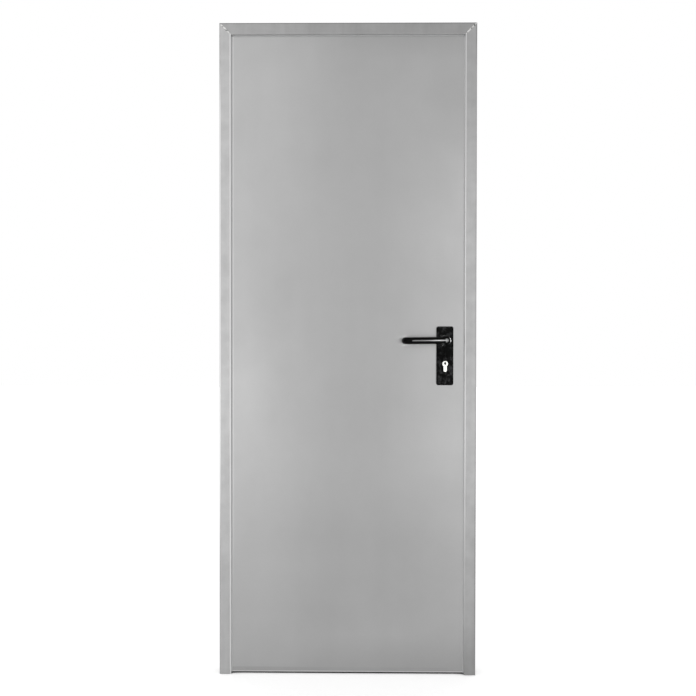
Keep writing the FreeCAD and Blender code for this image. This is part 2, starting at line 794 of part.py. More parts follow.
def lever(side, seat, outward):
    """A lever made about the spindle's axis with the leaf face at zero, then put in place and let droop."""
    front = outward < 0
    sign = "-" if front else ""
    body = doc.addObject("PartDesign::Body", f"{side}_lever")
    neck_plane = "neck_start" if front else "-neck_start"
    neck = new_sketch(body, f"{side}_lever_neck", "XZ_Plane", neck_plane)
    circle(neck, "0", "0", "hub_radius")
    hub_length = "lever_reach + tube_radius - neck_start"
    hub = pad(body, f"{side}_lever_hub", neck, hub_length, reverse=not front)
    face = number("lever_reach + tube_radius") * outward

    def lies_at(depth):
        return lambda edge: abs(edge.BoundBox.YMin - depth) < 0.01 and abs(edge.BoundBox.YMax - depth) < 0.01

    dress(body, "Fillet", f"{side}_lever_dome", hub, lies_at(face), "hub_round")
    path = new_sketch(body, f"{side}_lever_path", "XY_Plane")
    reach = number("lever_reach") * outward
    bend = number("lever_bend")
    tip = number("tube_radius - lever_length")
    shoulder = reach - outward * bend
    end = number("tip_gap") * outward
    diagonal = bend * 0.5 ** 0.5
    middle = Vector(tip + bend - diagonal, shoulder + outward * diagonal, 0)
    turn = Vector(tip + bend, reach, 0)
    drop = Vector(tip, shoulder, 0)
    path.addGeometry(Part.LineSegment(Vector(0, reach, 0), turn))
    path.addGeometry(Part.Arc(turn, middle, drop))
    path.addGeometry(Part.LineSegment(drop, Vector(tip, end, 0)))
    pin(path, 0, 1, "0", f"{sign}lever_reach")
    path.addConstraint(Sketcher.Constraint("Horizontal", 0))
    path.addConstraint(Sketcher.Constraint("Vertical", 2))
    near, far = arc_order(path, turn)
    path.addConstraint(Sketcher.Constraint("Tangent", 0, 2, 1, near))
    path.addConstraint(Sketcher.Constraint("Tangent", 1, far, 2, 1))
    index = path.addConstraint(Sketcher.Constraint("Radius", 1, bend))
    path.setExpression(f"Constraints[{index}]", cells("lever_bend"))
    pin(path, 2, 2, "tube_radius - lever_length", f"{sign}tip_gap")
    ring = new_sketch(body, f"{side}_lever_ring", "YZ_Plane")
    circle(ring, f"{sign}lever_reach", "0", "tube_radius")
    doc.recompute()
    tube = body.newObject("PartDesign::AdditivePipe", f"{side}_lever_tube")
    tube.Profile = ring
    tube.Spine = (path, ["Edge1", "Edge2", "Edge3"])
    doc.recompute()
    dress(body, "Fillet", f"{side}_lever_tip", tube, lies_at(end), "tip_round")
    socket = new_sketch(body, f"{side}_lever_socket", "XZ_Plane", neck_plane)
    half = "spindle_side / 2"
    rectangle(socket, f"-{half}", f"-{half}", half, half)
    pocket(body, f"{side}_lever_bore", socket, "spindle_end - neck_start", reverse=front)
    body.Placement = Placement(Vector(), Rotation(Vector(0, 1, 0), -number("lever_droop")))
    bind(body, x=SPINDLE_X, y=seat, z="spindle_height")
    return piece(body, f"{side}_lever")


plate("front", LEAF_FRONT, -1)
plate("back", LEAF_BACK, 1)
lever("front", LEAF_FRONT, -1)
lever("back", LEAF_BACK, 1)

spindle = doc.addObject("PartDesign::Body", "spindle")
square = new_sketch(spindle, "spindle_square", "XZ_Plane")
rectangle(square, "-spindle_side / 2", "-spindle_side / 2", "spindle_side / 2", "spindle_side / 2")
pad(spindle, "spindle_bar", square, "leaf_thickness + 2 * spindle_end", reverse=True)
spindle.Placement = Placement(Vector(), Rotation(Vector(0, 1, 0), -number("lever_droop")))
bind(spindle, x=SPINDLE_X, y=f"{LEAF_FRONT} - spindle_end", z="spindle_height")
piece(spindle, "spindle")

doc.recompute()
faults = []
for item in doc.Objects:
    if any(state in ("Invalid", "Error") for state in item.State):
        faults.append(f"{item.Label}: {item.State}")
for item in pieces:
    if item.Shape.isNull() or not item.Shape.isValid() or not item.Shape.Solids:
        faults.append(f"{item.Label}: the shape is not a valid solid")
if faults:
    raise RuntimeError("; ".join(faults))

os.makedirs("parts", exist_ok=True)
for item in pieces:
    item.Shape.exportStep(f"parts/{item.Label}.step")
    print(item.Label, len(item.Shape.Solids), round(item.Shape.Volume), item.Shape.BoundBox)
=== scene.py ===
import math

import bmesh
import bpy
from mathutils import Matrix, Vector, noise


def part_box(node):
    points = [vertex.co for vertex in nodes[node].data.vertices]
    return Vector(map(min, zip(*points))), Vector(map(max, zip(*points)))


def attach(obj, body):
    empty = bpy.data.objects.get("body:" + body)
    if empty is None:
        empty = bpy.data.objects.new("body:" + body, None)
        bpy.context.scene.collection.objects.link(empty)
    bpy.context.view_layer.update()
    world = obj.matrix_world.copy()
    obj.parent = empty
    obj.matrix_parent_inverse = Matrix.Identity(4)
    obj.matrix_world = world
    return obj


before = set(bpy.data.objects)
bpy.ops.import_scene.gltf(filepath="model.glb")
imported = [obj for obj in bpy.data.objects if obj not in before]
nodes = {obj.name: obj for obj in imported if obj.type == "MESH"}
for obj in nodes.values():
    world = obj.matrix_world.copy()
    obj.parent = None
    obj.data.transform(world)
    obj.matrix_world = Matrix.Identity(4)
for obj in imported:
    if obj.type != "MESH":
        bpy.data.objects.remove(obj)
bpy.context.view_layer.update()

# The frame: galvanised steel sheet, 1.5 mm thick, folded to one section for both jambs and the head. The top
# corners are mitred and welded, and the mill's zinc is left bare: rolled to a satin and clouded. Highlights are
# painted along its folds and shade at its edges and feet.
MM = 0.001


def linear(code):
    """An sRGB hex colour as linear red, green, blue and alpha."""
    parts = [int(code[start:start + 2], 16) / 255 for start in (1, 3, 5)]
    return tuple(part / 12.92 if part <= 0.04045 else ((part + 0.055) / 1.055) ** 2.4 for part in parts) + (1.0,)


def feed(tree, made, **inputs):
    """Set a node's inputs by name, or by number after an underscore, from values, sockets or nodes."""
    for name, value in inputs.items():
        socket = made.inputs[int(name[1:])] if name[1:].isdigit() else made.inputs[name.replace("_", " ")]
        if isinstance(value, bpy.types.Node):
            value = value.outputs[0]
        if isinstance(value, bpy.types.NodeSocket):
            tree.links.new(value, socket)
        else:
            socket.default_value = value


def node(tree, kind, settings=None, **inputs):
    """Add a node with its own settings and its inputs fed."""
    made = tree.nodes.new(kind)
    for name, value in (settings or {}).items():
        setattr(made, name, value)
    feed(tree, made, **inputs)
    return made


def new_material(name):
    """A node material, its tree, its shader and the piece's own coordinates in metres."""
    made = bpy.data.materials.new(name)
    made.use_nodes = True
    tree = made.node_tree
    return made, tree, tree.nodes["Principled BSDF"], node(tree, "ShaderNodeTexCoord").outputs["Object"]


def blend_colours(tree, amount, first, second):
    """A colour that goes from first to second as amount goes from 0 to 1."""
    mixed = node(tree, "ShaderNodeMix", {"data_type": "RGBA"}, _0=amount, _6=first, _7=second)
    return mixed.outputs[2]


def dress(piece, material):
    """Give a piece one material in place of what it came with."""
    piece.data.materials.clear()
    piece.data.materials.append(material)


GRAIN_ALONG_MM = 700  # the rolling direction runs up the sheet
CRYSTAL_MM = 5  # the real crystals are about 1 mm across and are drawn coarser, to show at all
# The colours of painted highlights, of painted shade, and of the pale painted light in the gaps round the leaf.
PAINTED_HIGHLIGHT_ZINC, PAINTED_SHADE_ZINC, PAINTED_GAP_LIGHT_ZINC = "#fafafa", "#2e2f2e", "#eceded"
DARK_SATIN, LIGHT_SATIN, GAP_LIGHT_ROUGHNESS = 0.34, 0.28, 0.75
BARE_METALLIC, GAP_LIGHT_METALLIC = 1.0, 0.1  # the painted light in the gaps is matt and hides the metal
SMOOTH = {"interpolation_type": "SMOOTHSTEP"}


def marked(tree, place, marks):
    """How strong the marks are at each point. A mark is its strength and its ramps, and is full where all of
    them are; a ramp is an axis, where it starts and where it is full, in millimetres."""
    spot = node(tree, "ShaderNodeSeparateXYZ", Vector=place).outputs
    most = 0.0
    for strength, ramps in marks:
        mark = strength
        for axis, start_mm, full_mm in ramps:
            ramp = node(
                tree, "ShaderNodeMapRange", SMOOTH,
                _0=spot[axis], _1=start_mm * MM, _2=full_mm * MM, _3=0.0, _4=1.0,
            )
            mark = node(tree, "ShaderNodeMath", {"operation": "MULTIPLY"}, _0=ramp, _1=mark)
        most = node(tree, "ShaderNodeMath", {"operation": "MAXIMUM"}, _0=mark, _1=most)
    return most


def galvanised_sheet(
    name, dark, light, cloud_mm, streak_mm, wave_mm, wave_height_mm, painted_highlights=(), painted_shade=(), painted_gap_light=()
):
    """Hot-dip zinc on rolled steel. The satin skin blurs what it reflects; the zinc has soft clouds, faint streaks
    along the rolling and small crystals, and the sheet isn't quite flat. Highlights are painted bright on bends,
    shade is painted dark at feet and edges, and a pale matt painted light lifts the shade in the gaps."""
    made, tree, shader, place = new_material(name)
    clouds = node(
        tree, "ShaderNodeTexNoise", Vector=place, Scale=1 / (cloud_mm * MM), Detail=3.0, Roughness=0.55
    )
    along = node(
        tree, "ShaderNodeVectorMath", {"operation": "DIVIDE"}, _0=place,
        _1=(streak_mm * MM, streak_mm * MM, GRAIN_ALONG_MM * MM),
    )
    streaks = node(tree, "ShaderNodeTexNoise", Vector=along, Scale=1.0, Detail=2.0)
    crystals = node(tree, "ShaderNodeTexVoronoi", Vector=place, Scale=1 / (CRYSTAL_MM * MM))
    crystal = node(tree, "ShaderNodeRGBToBW", Color=crystals.outputs["Color"])
    # Clouds give most of the shade, streaks half as much as they do, and crystals the last tenth.
    cloudy = node(tree, "ShaderNodeMapRange", _0=clouds, _1=0.3, _2=0.7, _3=0.0, _4=0.6)
    streaky = node(tree, "ShaderNodeMapRange", _0=streaks, _1=0.3, _2=0.7, _3=0.0, _4=0.3)
    shade = node(tree, "ShaderNodeMath", {"operation": "ADD"}, _0=cloudy, _1=streaky)
    shade = node(tree, "ShaderNodeMath", {"operation": "MULTIPLY_ADD"}, _0=crystal, _1=0.1, _2=shade)
    zinc = blend_colours(tree, shade, linear(dark), linear(light))
    dull = node(tree, "ShaderNodeMapRange", _0=shade, _1=0.0, _2=1.0, _3=DARK_SATIN, _4=LIGHT_SATIN)
    metallic = BARE_METALLIC
    # Painted shade, painted highlights and painted light in the gaps are laid over the zinc's own colour.
    if painted_shade:
        zinc = blend_colours(tree, marked(tree, place, painted_shade), zinc, linear(PAINTED_SHADE_ZINC))
    if painted_highlights:
        zinc = blend_colours(tree, marked(tree, place, painted_highlights), zinc, linear(PAINTED_HIGHLIGHT_ZINC))
    if painted_gap_light:
        gap_light = marked(tree, place, painted_gap_light)
        zinc = blend_colours(tree, gap_light, zinc, linear(PAINTED_GAP_LIGHT_ZINC))
        dull = node(tree, "ShaderNodeMix", {"data_type": "FLOAT"}, _0=gap_light, _2=dull, _3=GAP_LIGHT_ROUGHNESS)
        metallic = node(
            tree, "ShaderNodeMapRange", _0=gap_light, _1=0.0, _2=1.0, _3=BARE_METALLIC, _4=GAP_LIGHT_METALLIC
        )
    waves = node(tree, "ShaderNodeTexNoise", Vector=place, Scale=1 / (wave_mm * MM), Detail=1.0)
    bump = node(tree, "ShaderNodeBump", Strength=1.0, Distance=wave_height_mm * MM, Height=waves)
    feed(tree, shader, Base_Color=zinc, Roughness=dull, Normal=bump, Metallic=metallic)
    return made


HINGE_JAMB_PAINTED_HIGHLIGHTS = [
    (1.0, [("X", 31.5, 33)]),  # painted highlight on the fold beside the leaf
    (1.0, [("X", 5, 3.5), ("Z", 350, 700), ("Z", 1900, 1700)]),  # painted highlight on the outer fold
]
HINGE_JAMB_PAINTED_SHADE = [
    (0.2, [("X", 3.5, 2), ("Z", 500, 300)]),  # painted shade on the outer fold at the foot
    (0.1, [("X", 3.5, 2), ("Z", 1750, 1950)]),  # and at the top
]
LOCK_JAMB_PAINTED_HIGHLIGHTS = [(1.0, [("X", 758, 756.5), ("Z", 0, 800)])]  # painted highlight on the fold beside the leaf
LOCK_JAMB_PAINTED_SHADE = [
    (0.21, [("Z", 210, 20)]),  # painted shade at the foot
    (0.29, [("X", 785, 787), ("Z", 900, 300)]),  # painted shade on the outer fold low down
    (0.29, [("X", 785, 787), ("Z", 1850, 1960)]),  # and at the top
]
HEAD_PAINTED_SHADE = [(0.4, [("Z", 2000, 2003)])]  # painted shade along the top fold
# The three members get lit and shaded copies of the zinc, painted for how the light falls: the hinge jamb lightest
# and the head darkest.
for name, dark, light, painted_highlights, painted_shade in (
    ("hinge_jamb", "#c7c7c7", "#d8d8d8", HINGE_JAMB_PAINTED_HIGHLIGHTS, HINGE_JAMB_PAINTED_SHADE),
    ("lock_jamb", "#bfbfbf", "#d0d0d0", LOCK_JAMB_PAINTED_HIGHLIGHTS, LOCK_JAMB_PAINTED_SHADE),
    ("head_jamb", "#b4b4b4", "#c4c4c4", (), HEAD_PAINTED_SHADE),
):
    frame_zinc = galvanised_sheet(
        f"galvanised_{name}_sheet", dark, light, cloud_mm=45, streak_mm=14, wave_mm=300, wave_height_mm=0.5,
        painted_highlights=painted_highlights, painted_shade=painted_shade,
    )
    dress(nodes[name], frame_zinc)

# The mitre welds: a short run of weld up each top corner, ground back and brushed over with zinc paint, so it is
# brighter than the sheet, flaky and ragged at its edges.
MITRE_WELD_WIDE_MM, MITRE_WELD_RISE_MM = 5.0, 0.2
WELD_STEP_MM = 0.7
BEAD_SIDES = 8
LUMP_MM, RIPPLE_MM, RAGGED_MM = 2.2, 0.9, 1.5

# Zinc paint: metal flakes in a binder, brushed on by hand, so bright flakes lie between dull patches.
FLAKE_MM = 7
zinc_paint, tree, shader, place = new_material("zinc_paint_on_ground_weld")
flakes = node(tree, "ShaderNodeTexNoise", Vector=place, Scale=1 / (FLAKE_MM * MM), Detail=3.0, Roughness=0.6)
amount = node(tree, "ShaderNodeMapRange", _0=flakes, _1=0.36, _2=0.52, _3=0.0, _4=1.0)
feed(tree, shader, Base_Color=blend_colours(tree, amount, linear("#7f8180"), linear("#fefefc")))
feed(tree, shader, Metallic=0.6, Roughness=0.35)


def skin_rings(shape, rings):
    """Close the sides between neighbouring rings of points."""
    for first, second in zip(rings, rings[1:]):
        for corner in range(len(first)):
            after = (corner + 1) % len(first)
            shape.faces.new((first[corner], first[after], second[after], second[corner]))


def fit_piece(name, shape, material, body):
    """Make a finished shape a piece with its material, fixed to the body that it moves with."""
    mesh = bpy.data.meshes.new(name)
    shape.to_mesh(mesh)
    shape.free()
    made = bpy.data.objects.new(name, mesh)
    bpy.context.scene.collection.objects.link(made)
    dress(made, material)
    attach(made, body)
    return made


def weld_bead(name, start, end, outward, wide_mm, rise_mm, body):
    """A lumpy half-round bead that lies on a face from start to end, with its crown to the outward side."""
    start, end, outward = Vector(start), Vector(end), Vector(outward).normalized()
    run = end - start
    across = run.cross(outward).normalized()
    steps = max(4, round(run.length / (WELD_STEP_MM * MM)))
    bead = bmesh.new()
    rings = []
    for step in range(steps + 1):
        middle = start + run * step / steps
        taper = min(1.0, 4 * min(step, steps - step) / steps + 0.25)
        lump = 1 + 0.45 * noise.noise(middle / (LUMP_MM * MM)) + 0.25 * noise.noise(middle / (RIPPLE_MM * MM))
        ring = []
        for corner in range(BEAD_SIDES + 1):
            angle = math.pi * corner / BEAD_SIDES
            beside = middle + across * (corner - BEAD_SIDES / 2) * MM
            ragged = 1 + 0.5 * noise.noise(beside / (RAGGED_MM * MM))
            out = math.cos(angle) * wide_mm * MM / 2 * taper * ragged
            up = math.sin(angle) * rise_mm * MM * taper * lump
            ring.append(bead.verts.new(middle + across * out + outward * up))
        rings.append(ring)
    skin_rings(bead, rings)
    bead.faces.new(rings[0])
    bead.faces.new(rings[-1])
    bmesh.ops.recalc_face_normals(bead, faces=bead.faces)
    made = fit_piece(name, bead, zinc_paint, body)
    made.data.shade_smooth()


FACE_LOW, FACE_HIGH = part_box("head_jamb")
INNER_LEFT, INNER_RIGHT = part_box("hinge_jamb")[1].x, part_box("lock_jamb")[0].x
EDGE = 1.5 * MM  # the bend at the face's outer edge
for name, outer, inner in (
    ("hinge_side_mitre_weld", FACE_LOW.x + EDGE, INNER_LEFT - EDGE),
    ("lock_side_mitre_weld", FACE_HIGH.x - EDGE, INNER_RIGHT + EDGE),
):
    weld_bead(
        name, (outer, FACE_LOW.y, FACE_HIGH.z - EDGE), (inner, FACE_LOW.y, FACE_LOW.z + EDGE), (0, -1, 0),
        MITRE_WELD_WIDE_MM, MITRE_WELD_RISE_MM, "frame",
    )

# The fixings: steel spacer tubes that keep the section from crushing where it is screwed to the wall, and a
# keeper box pressed from sheet behind the lock jamb's slots. All are zinc-plated and tacked on behind the web.

# Zinc electroplate on machined steel: smoother than the dipped sheet, with a faint straw tint in patches from the
# passivating bath.
PASSIVATED_PATCH_MM = 12
plated_steel, tree, shader, place = new_material("zinc_plated_steel")
patches = node(tree, "ShaderNodeTexNoise", Vector=place, Scale=1 / (PASSIVATED_PATCH_MM * MM), Detail=3.0)
amount = node(tree, "ShaderNodeMapRange", _0=patches, _1=0.35, _2=0.7, _3=0.0, _4=1.0)
dull = node(tree, "ShaderNodeMapRange", _0=patches, _1=0.3, _2=0.7, _3=0.27, _4=0.37)
feed(tree, shader, Base_Color=blend_colours(tree, amount, linear("#babbb8"), linear("#b3ad9f")), Roughness=dull)
feed(tree, shader, Metallic=1.0)
for name in ("hinge_side_spacers", "lock_side_spacers", "strike_box"):
    dress(nodes[name], plated_steel)

# The hinges: two lift-off hinges of zinc-plated steel. One knuckle of each is welded to the frame and holds the
# turned pin; the other is welded to the leaf and turns on it, with a brass washer between them to run on.
TAB_WELD_LONG_MM, TAB_WELD_WIDE_MM, TAB_WELD_RISE_MM = 11, 3.0, 1.6

# Turned brass: cut from bar, a warm yellow with faint tarnish between the tool marks.
TARNISH_MM = 3
turned_brass, tree, shader, place = new_material("turned_brass")
turning = node(tree, "ShaderNodeTexNoise", Vector=place, Scale=1 / (TARNISH_MM * MM), Detail=2.0)
tarnish = node(tree, "ShaderNodeMapRange", _0=turning, _1=0.35, _2=0.7, _3=0.0, _4=1.0)
feed(tree, shader, Base_Color=blend_colours(tree, tarnish, linear("#c9a45a"), linear("#a98848")))
feed(tree, shader, Metallic=1.0, Roughness=0.3)
for level in ("upper", "lower"):
    for name in ("frame_knuckle", "hinge_pin", "leaf_knuckle"):
        dress(nodes[f"{level}_{name}"], plated_steel)
    dress(nodes[f"{level}_hinge_washer"], turned_brass)
    for body in ("frame", "leaf"):
        low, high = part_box(f"{level}_{body}_knuckle")
        edge = low.x if body == "frame" else high.x
        inner = edge + (TAB_WELD_LONG_MM if body == "frame" else -TAB_WELD_LONG_MM) * MM
        for run, start, end in (
            ("foot", (edge, low.y, low.z), (inner, low.y, low.z)),
            ("top", (edge, low.y, high.z), (inner, low.y, high.z)),
            ("side", (edge, low.y, low.z), (edge, low.y, high.z)),
        ):
            weld_bead(
                f"{level}_{body}_hinge_{run}_weld", start, end, (0, 1, 0), TAB_WELD_WIDE_MM, TAB_WELD_RISE_MM, body
            )

# The leaf: two trays of 0.8 mm galvanised sheet, pressed and clinched edge to edge round a paper core. The sheet
# is wide and thin, so its clouds are broad and its face is very slightly wavy.

# These marks are painted highlights and painted shade, and follow the photograph's lighter and darker areas.
LEAF_PAINTED_HIGHLIGHTS = [
    (0.7, [("Z", 9.5, 7), ("Z", 4.5, 5.5)]),  # painted highlight on the fold along the foot
    (0.3, [("X", 38.5, 40), ("X", 44, 42.5), ("Z", 150, 500)]),  # a painted highlight line beside the hinge jamb
]
LEAF_PAINTED_SHADE = [
    (0.13, [("Z", 22, 18)]),  # a low band of painted shade along the foot
    (1.0, [("Z", 5.5, 4.5)]),  # painted shadow along the bottom edge
    (0.09, [("X", 100, 400), ("Z", 190, 20)]),  # painted shade low down, stronger towards the lock
    (0.16, [("X", 600, 780), ("Z", 170, 20)]),
    (0.065, [("X", 120, 300), ("X", 720, 560), ("Z", 620, 420), ("Z", 40, 200)]),  # painted shade over the lower middle
    (0.065, [("X", 250, 450), ("Z", 1880, 1960)]),  # painted shadow under the head
]
# The painted light is inside the rebate, where the frame covers the leaf's edges and the gaps are in shade.
LEAF_PAINTED_GAP_LIGHT = [(1.0, [("X", 40, 37)]), (1.0, [("X", 750, 753)]), (1.0, [("Z", 1965, 1968)])]
leaf_zinc = galvanised_sheet(
    "galvanised_leaf_sheet", "#c8c8c8", "#d3d3d3", cloud_mm=260, streak_mm=130, wave_mm=600, wave_height_mm=0.8,
    painted_highlights=LEAF_PAINTED_HIGHLIGHTS, painted_shade=LEAF_PAINTED_SHADE, painted_gap_light=LEAF_PAINTED_GAP_LIGHT,
)
for name in ("front_skin", "back_skin"):
    dress(nodes[name], leaf_zinc)

# The lock: a case of pressed and plated steel let into the leaf's edge behind a forend strip, with the latch and
# the dead bolt drawn back in it. The square spindle goes through it from lever to lever.
for name in ("lock_forend", "lock_case", "latch_bolt", "dead_bolt", "spindle"):
    dress(nodes[name], plated_steel)

# The lock's screws: plated steel with a cross recess. Two countersunk heads hold the forend in the leaf's edge,
# and a third, between the bolts, goes through the case into the cylinder.
SCREW_WIDE_MM, SCREW_RISE_MM, FOREND_SCREW_IN_MM = 8.0, 0.5, 10
HEAD_CORNERS = 48
# Each ring of a head: its share of the radius, and its height as a share of the rise.
HEAD_RINGS = [(1.0, -0.3), (1.0, 0.25), (0.93, 0.55), (0.75, 0.8), (0.55, 0.94), (0.34, 1.0), (0.12, 1.0)]
# The recess: where it begins and where its floor begins, as shares of the radius, and its depth in rises.
RECESS_SHARE, RECESS_FLOOR_SHARE, RECESS_DEEP = 0.6, 0.2, 1.6


def countersunk_screw(name, place, outward, recess_turn, material):
    """A screw head with a shallow dome and a cross recess, set on a face of the leaf at place."""
    outward = Vector(outward).normalized()
    across = outward.orthogonal().normalized()
    up = outward.cross(across)
    radius = SCREW_WIDE_MM * MM / 2
    head = bmesh.new()
    rings = []
    for share, height in HEAD_RINGS:
        ring = []
        for corner in range(HEAD_CORNERS):
            angle = 2 * math.pi * corner / HEAD_CORNERS
            level = height
            if share < RECESS_FLOOR_SHARE:
                level -= RECESS_DEEP
            elif share < RECESS_SHARE:
                arm = max(0.0, math.cos(4 * (angle - recess_turn))) ** 3
                level -= RECESS_DEEP * min(1.0, 1.6 * arm)
            spoke = across * math.cos(angle) + up * math.sin(angle)
            ring.append(
                head.verts.new(Vector(place) + spoke * radius * share + outward * SCREW_RISE_MM * MM * level)
            )
        rings.append(ring)
    skin_rings(head, rings)
    head.faces.new(rings[0])
    head.faces.new(rings[-1])
    bmesh.ops.recalc_face_normals(head, faces=head.faces)
    fit_piece(name, head, material, "leaf")


FOREND_LOW, FOREND_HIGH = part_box("lock_forend")
FOREND_MIDDLE = (FOREND_LOW.y + FOREND_HIGH.y) / 2
CYLINDER_Z = sum(corner.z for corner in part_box("front_plug")) / 2
for name, height, turn in (
    ("forend_foot_screw", FOREND_LOW.z + FOREND_SCREW_IN_MM * MM, 0.2),
    ("cylinder_screw", CYLINDER_Z, 0.7),
    ("forend_top_screw", FOREND_HIGH.z - FOREND_SCREW_IN_MM * MM, 1.1),
):
    countersunk_screw(name, (FOREND_HIGH.x, FOREND_MIDDLE, height), (1, 0, 0), turn, plated_steel)

# The cylinder: a brass profile body with a turned plug at each end, held by the long screw in the forend. Satin
# nickel plate makes it the brightest thing on the door, a little duller where keys and fingers rub it.
RUB_MM = 4
bright_nickel, tree, shader, place = new_material("nickel_plated_brass")
handling = node(tree, "ShaderNodeTexNoise", Vector=place, Scale=1 / (RUB_MM * MM), Detail=3.0)
amount = node(tree, "ShaderNodeMapRange", _0=handling, _1=0.35, _2=0.7, _3=0.0, _4=1.0)
dull = node(tree, "ShaderNodeMapRange", _0=handling, _1=0.3, _2=0.7, _3=0.2, _4=0.3)
feed(tree, shader, Base_Color=blend_colours(tree, amount, linear("#eeeeeb"), linear("#dfdeda")), Roughness=dull)
feed(tree, shader, Metallic=1.0)
for name in ("cylinder_body", "front_plug", "back_plug"):
    dress(nodes[name], bright_nickel)

# The keyways: a channel broached in each plug, with wards on its sides, and a dished entry that guides the key in.
# The plating doesn't reach inside, and the bare brass there is dark with oil; its near-black colour, on the
# channel and on a thin ring laid on the plug's face at the entry, is also painted shade of the keyway's hollow.
GREASE_MM = 1.5
oiled_brass_and_keyway_shade, tree, shader, place = new_material("oiled_brass_and_painted_keyway_shade")
grease = node(tree, "ShaderNodeTexNoise", Vector=place, Scale=1 / (GREASE_MM * MM), Detail=2.0)
amount = node(tree, "ShaderNodeMapRange", _0=grease, _1=0.35, _2=0.7, _3=0.0, _4=1.0)
feed(tree, shader, Base_Color=blend_colours(tree, amount, linear("#070605"), linear("#191610")))
feed(tree, shader, Metallic=0.6, Roughness=0.6)
# The channel lies a hair inside the plug's slot, from just behind its mouth. Its section is in shares of its half
# width and half height, and a ward stands out from each side.
CHANNEL_HALF_WIDE, CHANNEL_HALF_HIGH = 0.98 * MM, 3.96 * MM
CHANNEL_FROM, CHANNEL_TO = 0.15 * MM, 12 * MM
WARD = 0.35
CHANNEL_SECTION = [
    (-1, -1), (1, -1), (1, -0.1), (1 - WARD, -0.1), (1 - WARD, 0.15), (1, 0.15),
    (1, 1), (-1, 1), (-1, 0.55), (-1 + WARD, 0.55), (-1 + WARD, 0.3), (-1, 0.3),
]
# Each ring of the entry: half width, half height and height off the plug in millimetres, and the power that rounds
# it, from 1 for an oval down to 0 for a square.
ENTRY_RINGS = [
    (1.0, 2.8, 0.0, 0.35), (1.0, 2.8, 0.03, 0.35),
    (2.9, 3.9, 0.12, 1.0), (3.2, 4.2, 0.1, 1.0), (3.2, 4.2, 0.0, 1.0),
]
ENTRY_CORNERS = 32
ENTRY_ABOVE_MM = 1.6  # above the middle of the slot
for side, body, inward in (("front", "front_plug", 1), ("back", "leaf", -1)):
    low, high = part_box(f"{side}_plug")
    middle = Vector(((low.x + high.x) / 2, low.y if inward > 0 else high.y, (low.z + high.z) / 2))
    channel = bmesh.new()
    rings = []
    for depth in (CHANNEL_FROM, CHANNEL_TO):
        spots = [(across * CHANNEL_HALF_WIDE, up * CHANNEL_HALF_HIGH) for across, up in CHANNEL_SECTION]
        rings.append([channel.verts.new(middle + Vector((across, inward * depth, up))) for across, up in spots])
    skin_rings(channel, rings)
    channel.faces.new(rings[1])
    fit_piece(f"{side}_key_channel", channel, oiled_brass_and_keyway_shade, body)
    # The entry is a thin near-black ring on the plug's face: painted shade of the keyway's mouth.
    entry = bmesh.new()
    rings = []
    for half_wide, half_high, out, power in ENTRY_RINGS:
        ring = []
        for corner in range(ENTRY_CORNERS):
            angle = 2 * math.pi * corner / ENTRY_CORNERS
            across = math.copysign(abs(math.cos(angle)) ** power, math.cos(angle)) * half_wide
            up = math.copysign(abs(math.sin(angle)) ** power, math.sin(angle)) * half_high
            ring.append(entry.verts.new(middle + Vector((across, -inward * out, up + ENTRY_ABOVE_MM)) * MM))
        rings.append(ring)
    skin_rings(entry, rings)
    bmesh.ops.recalc_face_normals(entry, faces=entry.faces)
    fit_piece(f"{side}_key_entry_painted_shade", entry, oiled_brass_and_keyway_shade, body)

# The handles: plates and levers moulded in black nylon. The plates come out of the mould with a fine grain that
# holds finger marks; the levers are polished by the hand and take one sharp highlight along the grip.
NYLON_IOR, NYLON_GLOSS = 1.53, 0.06
PLATE_EDGE_ROUND_MM, PLATE_EDGE_STEPS, PLATE_EDGE_ANGLE = 1.0, 3, math.radians(25)


def moulded_nylon(name, deep, rubbed, mark_mm, smooth, rough):
    """Black nylon with paler marks on it, duller where it is marked."""
    made, tree, shader, place = new_material(name)
    marks = node(tree, "ShaderNodeTexNoise", Vector=place, Scale=1 / (mark_mm * MM), Detail=4.0, Roughness=0.6)
    amount = node(tree, "ShaderNodeMapRange", _0=marks, _1=0.48, _2=0.72, _3=0.0, _4=1.0)
    dull = node(tree, "ShaderNodeMapRange", _0=marks, _1=0.35, _2=0.7, _3=smooth, _4=rough)
    feed(tree, shader, Base_Color=blend_colours(tree, amount, linear(deep), linear(rubbed)), Roughness=dull)
    feed(tree, shader, IOR=NYLON_IOR, Specular_IOR_Level=NYLON_GLOSS)
    return made


plate_nylon = moulded_nylon("black_nylon_plate", "#030303", "#29292a", 11, 0.16, 0.3)
lever_nylon = moulded_nylon("black_nylon_lever", "#020202", "#060606", 30, 0.09, 0.12)
for side in ("front", "back"):
    dress(nodes[f"{side}_plate"], plate_nylon)
    dress(nodes[f"{side}_lever"], lever_nylon)
    softened = nodes[f"{side}_plate"].modifiers.new("moulded_edges", "BEVEL")
    softened.width = PLATE_EDGE_ROUND_MM * MM
    softened.segments = PLATE_EDGE_STEPS
    softened.limit_method = "ANGLE"
    softened.angle_limit = PLATE_EDGE_ANGLE

